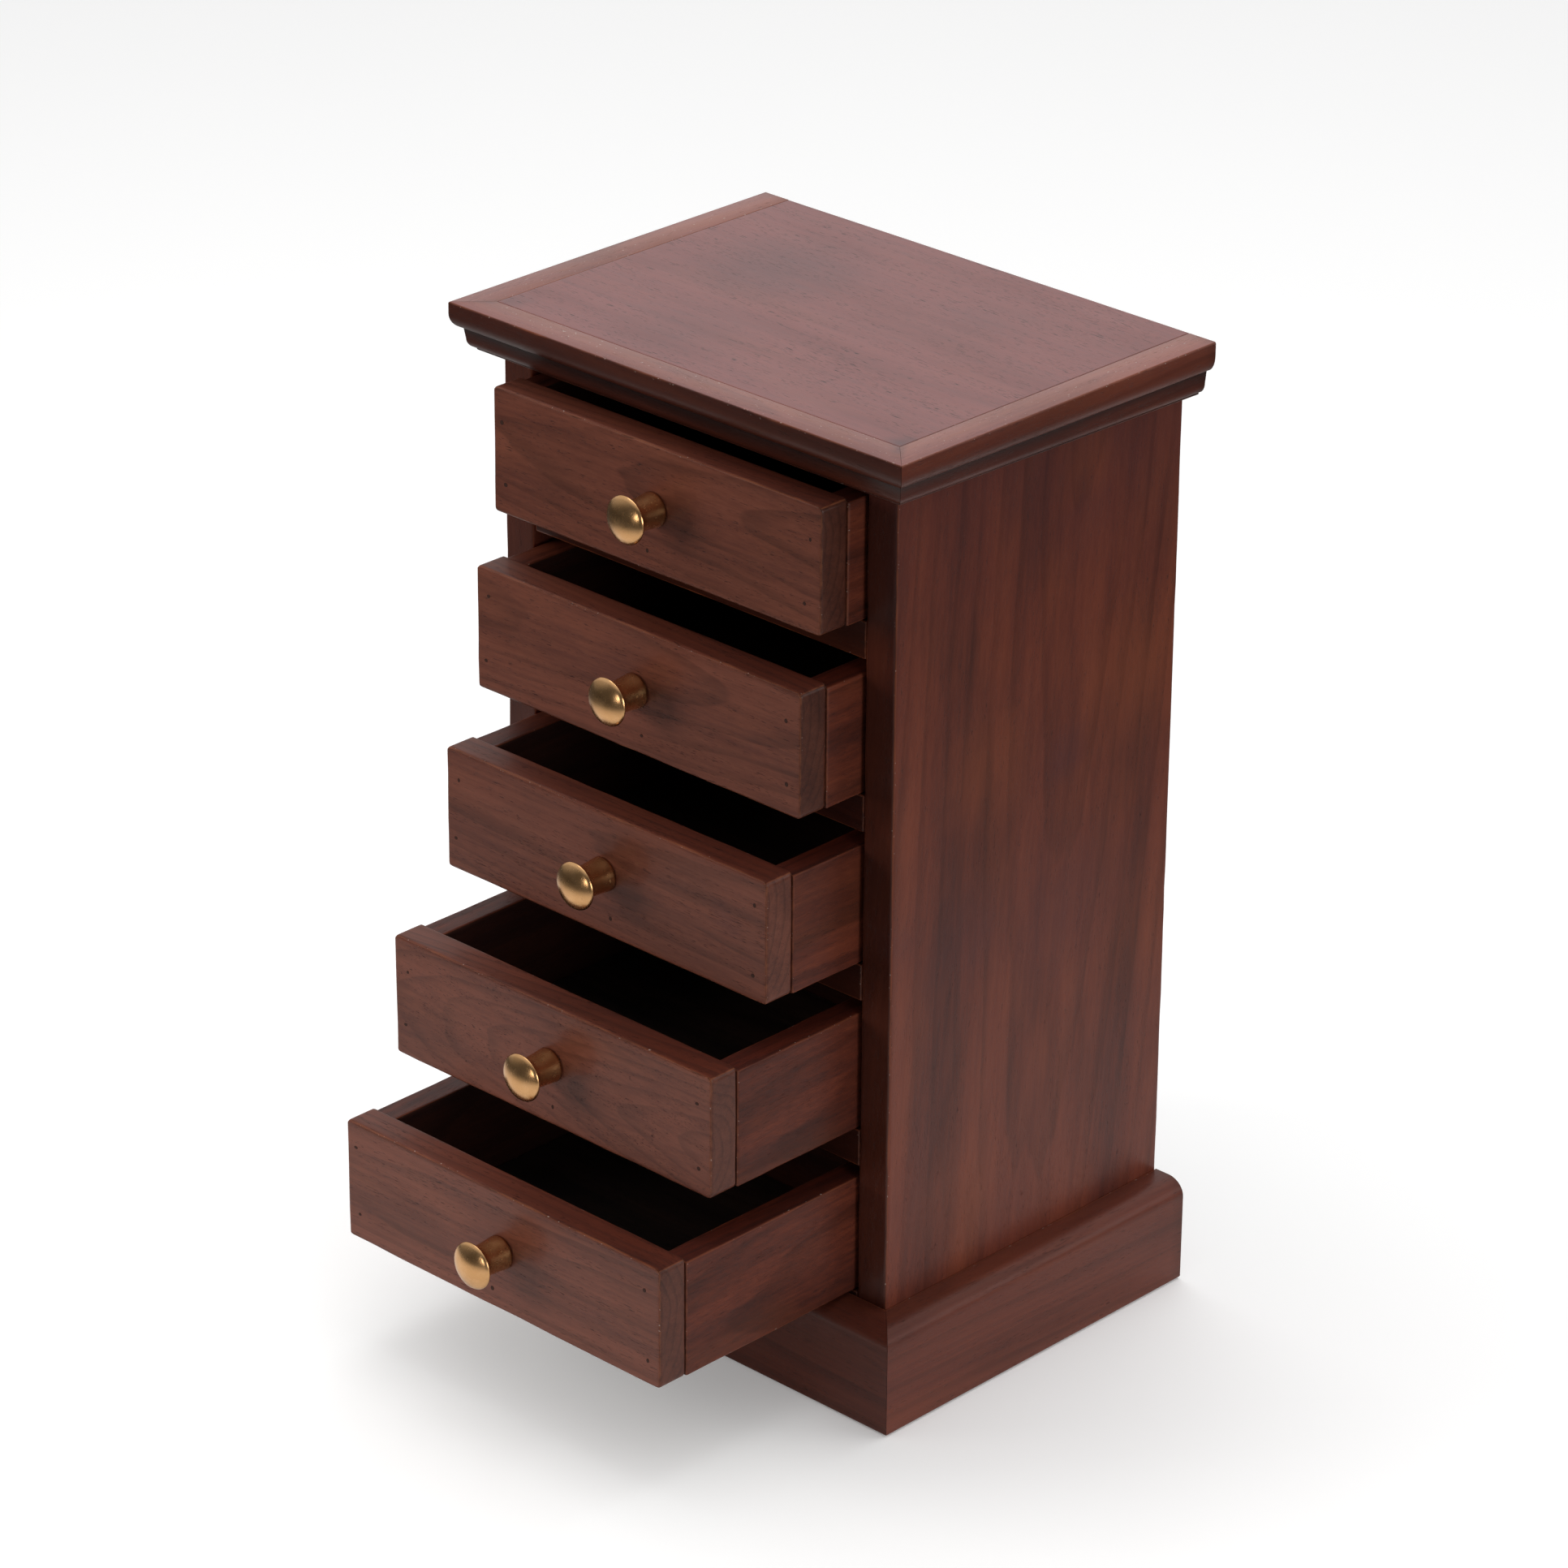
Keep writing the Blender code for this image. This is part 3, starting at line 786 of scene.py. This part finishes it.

# %% [markdown]
# ## The drawers
#
# Each drawer is a front with sanded corners, two sides that butt against its back, a back between the
# sides and a dark floor. Every board has its own place in the log. Inner faces are darkened almost to
# black, as painted shade inside the drawer, and top edges are bare of lacquer. Two fronts have a
# chipped corner.

# %% Drawer boards
DRAWERS = range(1, 6)
END_SHARES = {1: 1.0, 2: 1.0, 3: 0.15, 4: 0.6, 5: 0.7}  # how dark each front's end grain is
FRONT_SPOTS = {  # right, back, up, radius, amount
    1: {"chip": [(69.5, -29.6, 286.4, 1.1, 1.0)]},
    3: {"chip": [(69.5, -50.3, 177.6, 1.0, 1.0)], "smudge": [(51.0, -50.3, 162.0, 3.5, 0.9)]},
}
FRONT_CUTS = {4: {"pith": (3.0, 22.0), "tilt": (0.03, -0.16)}}  # arches in the fourth front's grain
TOP_EDGE = (Z, 1, 1.0)
# Inner faces are darkened almost to black: painted shade inside the drawer.
for number in DRAWERS:
    body = f"drawer_{number}"
    cut = log_cut(0.08) | FRONT_CUTS.get(number, {})
    make_board(
        f"{body}_front", body, "front_wood", FRONT_WOOD, X, Y, radius=0.8 * MM, corner=1.8 * MM,
        grime=[(Y, 1, 0.9)], raw=[TOP_EDGE], end_share=END_SHARES[number], spots=FRONT_SPOTS.get(number, {}),
        **cut,
    )
    for part, inward, bare in (("side_left", 1, []), ("side_right", -1, [(Z, 1, 1.5)])):
        make_board(
            f"{body}_{part}", body, "drawer_wood", DRAWER_WOOD, Y, X, radius=0.7 * MM,
            grime=[(X, inward, 0.85)], raw=bare, **log_cut(),
        )
    make_board(
        f"{body}_back", body, "drawer_wood", DRAWER_WOOD, X, Y, radius=0.6 * MM,
        grime=[(Y, -1, 0.85)], raw=[TOP_EDGE], **log_cut(),
    )
    make_board(f"{body}_bottom", body, "inside_wood", INSIDE_WOOD, X, Z, radius=0.4 * MM, **log_cut())
print("drawers", len(DRAWERS))

# %% [markdown]
# ## Cornice and plinth
#
# Both are mouldings: one section run along three edges of the case and mitred at the front corners. The
# section is drawn as (out from the case, up from the floor), with its corners eased. At a mitre, a
# point that is further out simply ends further along.

# %% Moulding sections
side_low, side_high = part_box("side_panel_right")
HALF_CASE = side_high[0]
CASE_FRONT = side_low[1]
CASE_BACK = side_high[1]
PLINTH_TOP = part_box("plinth_right")[1][2]
CORNICE_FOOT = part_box("cornice_right")[0][2]
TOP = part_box("top_panel")[1][2]
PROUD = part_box("plinth_right")[1][0] - HALF_CASE
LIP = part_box("top_panel")[1][0] - HALF_CASE + 0.27 * MM
PANEL_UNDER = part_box("top_panel")[0][2] - 0.3 * MM
INNER = 0.05 * MM


def arc(centre, radii, start, end, steps):
    """Points along part of an ellipse, angles in degrees."""
    angles = [math.radians(start + (end - start) * step / steps) for step in range(steps + 1)]
    return [(centre[0] + radii[0] * math.cos(a), centre[1] + radii[1] * math.sin(a)) for a in angles]


def plinth_section():
    foot = 1.2 * MM
    shoulder = (6.0 * MM, 5.4 * MM)
    points = [(INNER, 0.0)]
    points += arc((PROUD - foot, foot), (foot, foot), -90, 0, 5)
    points += [(PROUD, PLINTH_TOP * share) for share in (0.2, 0.4, 0.6)]
    points += arc((PROUD - shoulder[0], PLINTH_TOP - shoulder[1]), shoulder, 0, 90, 12)
    return points + [(INNER + 2.4 * MM, PLINTH_TOP), (INNER, PLINTH_TOP)]


def cornice_section():
    """From the foot up: a slope, a fillet, a quarter round, an upright, a quarter round and the lip."""
    slope = (5.5 * MM, CORNICE_FOOT + 2.3 * MM)
    fillet_top = slope[1] + 0.7 * MM
    lower = (2.0 * MM, 2.7 * MM)
    upright = 3.5 * MM
    lean = 0.5 * MM
    upper = (2.8 * MM, 4.2 * MM)
    nose = 0.5 * MM
    lower_in = slope[0] + 0.2 * MM
    lower_top = fillet_top + lower[1]
    upper_top = lower_top + upright + upper[1]
    points = [(INNER, CORNICE_FOOT), (0.8 * MM, CORNICE_FOOT), slope, (slope[0], fillet_top)]
    points += arc((lower_in, lower_top), lower, -90, 0, 8)
    points += [(lower_in + lower[0] + lean, lower_top + upright)]
    points += arc((PROUD - upper[0], upper_top), upper, -90, 0, 9)
    points += arc((PROUD - nose, TOP - nose), (nose, nose), 0, 90, 4)
    return points + [(LIP, TOP), (LIP, PANEL_UNDER), (INNER, PANEL_UNDER)]


def eased(section, size):
    """Cut each sharp corner of a closed section into three short steps."""
    result = []
    count = len(section)
    for index, here in enumerate(section):
        before = Vector(section[index - 1])
        after = Vector(section[(index + 1) % count])
        point = Vector(here)
        one = (before - point)
        two = (after - point)
        turn = one.angle(two)
        if turn > math.radians(150):
            result.append(point)
            continue
        reach = min(size, one.length * 0.45, two.length * 0.45)
        start = point + one.normalized() * reach
        stop = point + two.normalized() * reach
        for share in (0.0, 0.33, 0.67, 1.0):
            first = start.lerp(point, share)
            second = point.lerp(stop, share)
            result.append(first.lerp(second, share))
    return result


def corner_marks(section, rub_reach, grime_reach):
    """For each point of a section: how near a proud corner it is, and how near a hollow one."""
    count = len(section)
    turns = []
    for index in range(count):
        before = section[index] - section[index - 1]
        after = section[(index + 1) % count] - section[index]
        turns.append(-before.angle_signed(after, 0.0) if before.length and after.length else 0.0)
    edge = np.zeros(count)
    grime = np.zeros(count)
    for index in range(count):
        for other, turn in enumerate(turns):
            gap = (section[index] - section[other]).length
            proud = min(1.0, max(0.0, turn) * 2.0)
            hollow = min(1.0, max(0.0, -turn) * 2.0)
            edge[index] = max(edge[index], proud * max(0.0, 1 - gap / rub_reach))
            grime[index] = max(grime[index], hollow * max(0.0, 1 - gap / grime_reach))
    return edge, grime


print("section points", len(plinth_section()), len(cornice_section()))

# %% [markdown]
# The side pieces of the cornice were planed a little deeper towards the back, which `deepen` gives. The
# top of the lip was finished with the top panel, so it has the `lid` attribute. Below the lip every piece
# is darkened with painted shade, the front pieces much more, as they stand in shadow, and the hollows
# of the section get dirt and painted shade. Grain runs along every piece.

# %% Run the mouldings
MITRE_GAP = 0.05 * MM
RING_STEP = 5.0 * MM
DEEPER_AT_THE_BACK = 0.19
# Painted shade below the lip of each moulding, much more on the front pieces, which stand in shadow.
SHADES = {"plinth": {"front": 0.35, "side": 0.12}, "cornice": {"front": 0.60, "side": 0.15}}
# filler at the mitres, in millimetres: right, back, radius, amount
MITRE_SMUDGES = [(80.0, -14.5, 3.0, 0.9), (84.0, -19.0, 1.6, 0.7), (-80.0, -14.0, 4.5, 0.7)]


def moulding_points(section, edge_name, seed, deepen):
    """Rings of the section along one edge, and where each point is along, out and up."""
    front = edge_name == "front"
    side = -1.0 if edge_name == "left" else 1.0
    length = 2 * (HALF_CASE + PROUD) if front else CASE_BACK - CASE_FRONT + PROUD
    rings = max(8, round(length / RING_STEP))
    points = []
    place = []
    for ring in range(rings + 1):
        share = ring / rings
        for out, up in section:
            if front:
                end = HALF_CASE + out - MITRE_GAP
                run = -end + 2 * end * share
                spot = [run, CASE_FRONT - out, up]
            else:
                start = CASE_FRONT - out + MITRE_GAP
                run = start + (CASE_BACK - start) * share
                up = TOP - (TOP - up) * (1.0 + deepen * share)
                spot = [side * (HALF_CASE + out), run, up]
            shift = 0.05 * MM * wavy((run, out * 0.3, up * 0.3), 40.0, seed)
            if out > 1.0 * MM and up > 1.0 * MM and up < TOP - 0.5 * MM:
                spot[1 if front else 0] += (-1.0 if front else side) * shift
            points.append(spot)
            place.append((run / MM, out / MM, up / MM))
    return np.array(points), np.array(place), rings


def tube_faces(rings, count):
    """Quads between rings of count points, and a face at each end."""
    faces = []
    for base in range(0, rings * count, count):
        for here in range(count):
            after = (here + 1) % count
            faces.append([base + here, base + count + here, base + count + after, base + after])
    faces.append(list(range(count)))
    faces.append([rings * count + index for index in reversed(range(count))])
    return faces


def fix_normals(item):
    """Turn a closed mesh's faces outward."""
    form = bmesh.new()
    form.from_mesh(item.data)
    bmesh.ops.recalc_face_normals(form, faces=form.faces)
    form.to_mesh(item.data)
    form.free()


def run_moulding(kind, edge_name, section, seed, cut, deepen=0.0):
    """One length of moulding; its rubbed corners are partly a painted highlight, and its hollows are
    darkened with dirt and painted shade. Grain runs along it.
    """
    points, place, rings = moulding_points(section, edge_name, seed, deepen)
    node = f"{kind}_{edge_name}"
    item = new_piece(f"{node}_run", points, tube_faces(rings, len(section)), CASE_WOOD)
    fix_normals(item)
    item.data.set_sharp_from_angle(angle=math.radians(50))
    place[:, 1] += cut["pith"][0] + place[:, 0] * cut["tilt"][0]
    place[:, 2] += cut["pith"][1] + place[:, 0] * cut["tilt"][1]
    # Hollows in the section are darkened with dirt and painted shade.
    edge, grime = corner_marks(section, 0.9 * MM, 1.1 * MM)
    lid = np.array([1.0 if up > TOP - 0.12 * MM else 0.0 for out, up in section])
    shade = SHADES[kind]["front" if edge_name == "front" else "side"]
    ends = np.zeros(len(points))
    if edge_name != "front":
        ends[-len(section):] = 0.6
    smudges = [(x, y, TOP / MM, radius, amount) for x, y, radius, amount in MITRE_SMUDGES]
    add_attribute(item.data, "grain", place)
    add_attribute(item.data, "end", ends)
    add_attribute(item.data, "smudge", spread(points, smudges))
    for title, values in {"edge": edge, "grime": grime, "lid": lid, "shade": (1.0 - lid) * shade}.items():
        add_attribute(item.data, title, np.tile(values, rings + 1))
    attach(item, "carcase")
    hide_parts(node)


plinth = eased([Vector(point) for point in plinth_section()], 0.3 * MM)
cornice = eased([Vector(point) for point in cornice_section()], 0.25 * MM)
for edge_name in ("front", "left", "right"):
    run_moulding("plinth", edge_name, plinth, dice.uniform(0, 9), log_cut())
    deepen = 0.0 if edge_name == "front" else DEEPER_AT_THE_BACK
    run_moulding("cornice", edge_name, cornice, dice.uniform(0, 9), log_cut(), deepen)
print("mouldings 6, section points", len(plinth), len(cornice))

# %% [markdown]
# ## Knobs
#
# A knob is turned, so it is a profile swept once round its axis. The profile has the same base, waist,
# rim and dome as the solid one, with many more steps. The dark film that gathers behind the head and at
# the foot is stored in the same attribute as the woods' dirt and painted shade.

# %% Turned knobs
KNOB_STEPS = 96
KNOB_BASE = 5.3 * MM
KNOB_WAIST = 4.8 * MM
COLLAR_END = 0.9 * MM  # from the front, the straight collar at the base ends here
WAIST_END = 8.2 * MM  # and the narrow waist here
DOME = 2.75 * MM
RIM = 0.7 * MM


def lathe(name, profile, centre, material, grime):
    """Sweep (radius, distance along -Y) points round the Y axis through centre."""
    points = []
    faces = []
    dirt = []
    rings = []
    for (radius, along), film in zip(profile, grime):
        ring = []
        for step in range(KNOB_STEPS if radius > 1e-7 else 1):
            angle = math.tau * step / KNOB_STEPS
            ring.append(len(points))
            across, up = radius * math.cos(angle), radius * math.sin(angle)
            points.append((centre[0] + across, centre[1] - along, centre[2] + up))
            dirt.append(film)
        rings.append(ring)
    for one, two in zip(rings, rings[1:]):
        for step in range(KNOB_STEPS):
            after = (step + 1) % KNOB_STEPS
            if len(one) == 1:
                faces.append([one[0], two[after], two[step]])
            elif len(two) == 1:
                faces.append([one[step], one[after], two[0]])
            else:
                faces.append([one[step], one[after], two[after], two[step]])
    item = new_piece(name, points, faces, material)
    fix_normals(item)
    item.data.set_sharp_from_angle(angle=math.radians(50))
    add_attribute(item.data, "grime", np.array(dirt))
    return item


def knob_profile(low, high, front):
    """Radii and distances of a knob from the box of its solid."""
    head = (high[0] - low[0]) / 2
    tip = front - low[1]
    rim = tip - DOME
    rim_back = rim - RIM
    foot = 0.05 * MM
    ease = 0.25 * MM
    profile = [(0.0, foot), (KNOB_BASE - ease, foot), (KNOB_BASE, foot + ease)]
    profile += [(KNOB_BASE - 0.04 * MM, COLLAR_END)]
    for step in range(1, 11):
        share = step / 10
        radius = KNOB_WAIST + (KNOB_BASE - KNOB_WAIST) * (1 - share) ** 2
        profile.append((radius, COLLAR_END + (WAIST_END - COLLAR_END) * share))
    cove = head - ease
    profile += arc((cove, WAIST_END), (cove - KNOB_WAIST, rim_back - WAIST_END), 180, 90, 9)[1:]
    profile += arc((head - 0.3 * MM, rim_back + 0.35 * MM), (0.3 * MM, 0.35 * MM), -80, 30, 5)
    dome = tip - rim
    sphere = (head**2 + dome**2) / (2 * dome)
    edge = math.asin(head / sphere)
    for step in range(1, 15):
        angle = edge * (1 - step / 15)
        profile.append((sphere * math.sin(angle), tip - sphere * (1 - math.cos(angle))))
    profile.append((0.0, tip))
    film = []
    for radius, along in profile:
        behind = max(0.0, 1 - abs(along - rim_back + 0.6 * MM) / (1.6 * MM)) if radius < head * 0.9 else 0.0
        film.append(max(behind if along < rim_back else 0.0, max(0.0, 1 - along / (1.0 * MM)) * 0.8))
    return profile, film


for number in DRAWERS:
    low, high = (np.array(value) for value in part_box(f"drawer_{number}_knob"))
    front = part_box(f"drawer_{number}_front")[0][1]
    centre = Vector(((low[0] + high[0]) / 2, front, (low[2] + high[2]) / 2))
    profile, film = knob_profile(low, high, front)
    knob = lathe(f"drawer_{number}_turned_knob", profile, centre, BRASS, film)
    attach(knob, f"drawer_{number}")
    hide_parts(f"drawer_{number}_knob")
    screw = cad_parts[f"drawer_{number}_knob_screw"]
    screw.data.materials.clear()
    screw.data.materials.append(STEEL)
print("knobs", len(DRAWERS))

# %% [markdown]
# ## Nail heads
#
# Each front is nailed into the sides and the floor board. The heads are punched below the surface and
# filled, so they show as small dark discs, no two alike. One Geometry Nodes tree puts a low disc
# on every point of a small mesh of nail places, and the result is made a plain mesh for each drawer.

# %% Nail tree


def nail_tree():
    tree = bpy.data.node_groups.new("filled_nails", "GeometryNodeTree")
    interface = tree.interface
    interface.new_socket("Places", in_out="INPUT", socket_type="NodeSocketGeometry")
    for title, value in (("Head Radius", 1.0 * MM), ("Head Height", 0.05 * MM)):
        interface.new_socket(title, in_out="INPUT", socket_type="NodeSocketFloat").default_value = value
    interface.new_socket("Seed", in_out="INPUT", socket_type="NodeSocketInt")
    interface.new_socket("Heads", in_out="OUTPUT", socket_type="NodeSocketGeometry")
    entry = tree.nodes.new("NodeGroupInput")
    leave = tree.nodes.new("NodeGroupOutput")
    disc = tree.nodes.new("GeometryNodeMeshCylinder")
    disc.inputs["Vertices"].default_value = 20
    stand = tree.nodes.new("GeometryNodeTransform")
    stand.inputs["Rotation"].default_value = (math.radians(90), 0.0, 0.0)
    place = tree.nodes.new("GeometryNodeInstanceOnPoints")
    size = tree.nodes.new("FunctionNodeRandomValue")
    size.data_type = "FLOAT_VECTOR"
    size.inputs[0].default_value = (0.75, 1.0, 0.75)
    size.inputs[1].default_value = (1.2, 1.0, 1.2)
    real = tree.nodes.new("GeometryNodeRealizeInstances")
    paint = tree.nodes.new("GeometryNodeSetMaterial")
    paint.inputs["Material"].default_value = FILLER
    for start, stop in (
        (entry.outputs["Head Radius"], disc.inputs["Radius"]),
        (entry.outputs["Head Height"], disc.inputs["Depth"]),
        (entry.outputs["Seed"], size.inputs["Seed"]),
        (disc.outputs["Mesh"], stand.inputs["Geometry"]),
        (entry.outputs["Places"], place.inputs["Points"]),
        (stand.outputs["Geometry"], place.inputs["Instance"]),
        (size.outputs["Value"], place.inputs["Scale"]),
        (place.outputs["Instances"], real.inputs["Geometry"]),
        (real.outputs["Geometry"], paint.inputs["Geometry"]),
        (paint.outputs["Geometry"], leave.inputs["Heads"]),
    ):
        tree.links.new(start, stop)
    return tree


def grown(name, places, tree, values):
    """Run a tree on a mesh of points and keep the result as a plain mesh."""
    mesh = bpy.data.meshes.new(f"{name}_places")
    mesh.from_pydata(places, [], [])
    item = bpy.data.objects.new(name, mesh)
    bpy.context.scene.collection.objects.link(item)
    modifier = item.modifiers.new("grow", "NODES")
    modifier.node_group = tree
    for socket in tree.interface.items_tree:
        if socket.name in values:
            modifier[socket.identifier] = values[socket.name]
    evaluated = item.evaluated_get(bpy.context.evaluated_depsgraph_get())
    result = bpy.data.meshes.new_from_object(evaluated)
    item.modifiers.remove(modifier)
    item.data = result
    return item


NAILS = nail_tree()
print("nail tree nodes", len(NAILS.nodes))

# %% [markdown]
# Two nails at each end of a front go into the sides, and one near the middle into the floor. They were
# placed by eye, so each is off by a millimetre or so.

# %% Nails in each front
for number in DRAWERS:
    low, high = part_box(f"drawer_{number}_front")
    face = low[1] - 0.01 * MM
    places = []
    for side in (-1, 1):
        for height in (9.0, 29.0):
            across = side * (60.0 + dice.uniform(-1.5, 1.5)) * MM
            places.append((across, face, low[2] + (height + dice.uniform(-1.5, 1.5)) * MM))
    places.append((dice.uniform(-4.0, 4.0) * MM, face, low[2] + 6.0 * MM))
    values = {"Head Radius": 0.60 * MM, "Head Height": 0.12 * MM, "Seed": number}
    heads = grown(f"drawer_{number}_nail_heads", places, NAILS, values)
    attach(heads, f"drawer_{number}")
print("nails", 5 * len(DRAWERS))

# %% [markdown]
# ## The floor
#
# A plain pale sheet that only the camera sees, and just under it the sheet that lights the chest from
# below and shows in its lacquer. The second one fades outwards, as the lit part of a studio table does.
# Neither is part of the object.

# %% Floor


def add_sheet(name, height, colour_of, glow):
    half = FLOOR_SIZE / 2
    corners = [(-half, -half, height), (half, -half, height), (half, half, height), (-half, half, height)]
    paper = Material(name)
    place = paper.node("ShaderNodeTexCoord", {}, out="Object")
    colour = colour_of(paper, place)
    white = (1.0, 1.0, 1.0)
    skin = paper.finish(Base_Color=colour, Roughness=0.9, Emission_Color=white, Emission_Strength=glow)
    sheet = new_piece(name, corners, [(0, 1, 2, 3)], skin)
    sheet.visible_shadow = False
    return sheet


def plain_paper(paper, place):
    return paper.mix(paper.noise(place, 2.0, 0.5, scale=3.0), (0.965, 0.965, 0.965), (0.975, 0.975, 0.975))


def fading_paper(paper, place):
    reach = paper.node("ShaderNodeVectorMath", {"operation": "LENGTH"}, place, out="Value")
    return paper.mix(reach.between(*PAPER_REACH), (0.92, 0.91, 0.90), (0.05, 0.05, 0.05))


seen = add_sheet("studio_floor", -0.0002, plain_paper, 0.16)
seen.visible_diffuse = False
seen.visible_glossy = False
bounce = add_sheet("studio_bounce", -0.0004, fading_paper, 0.0)
bounce.visible_camera = False
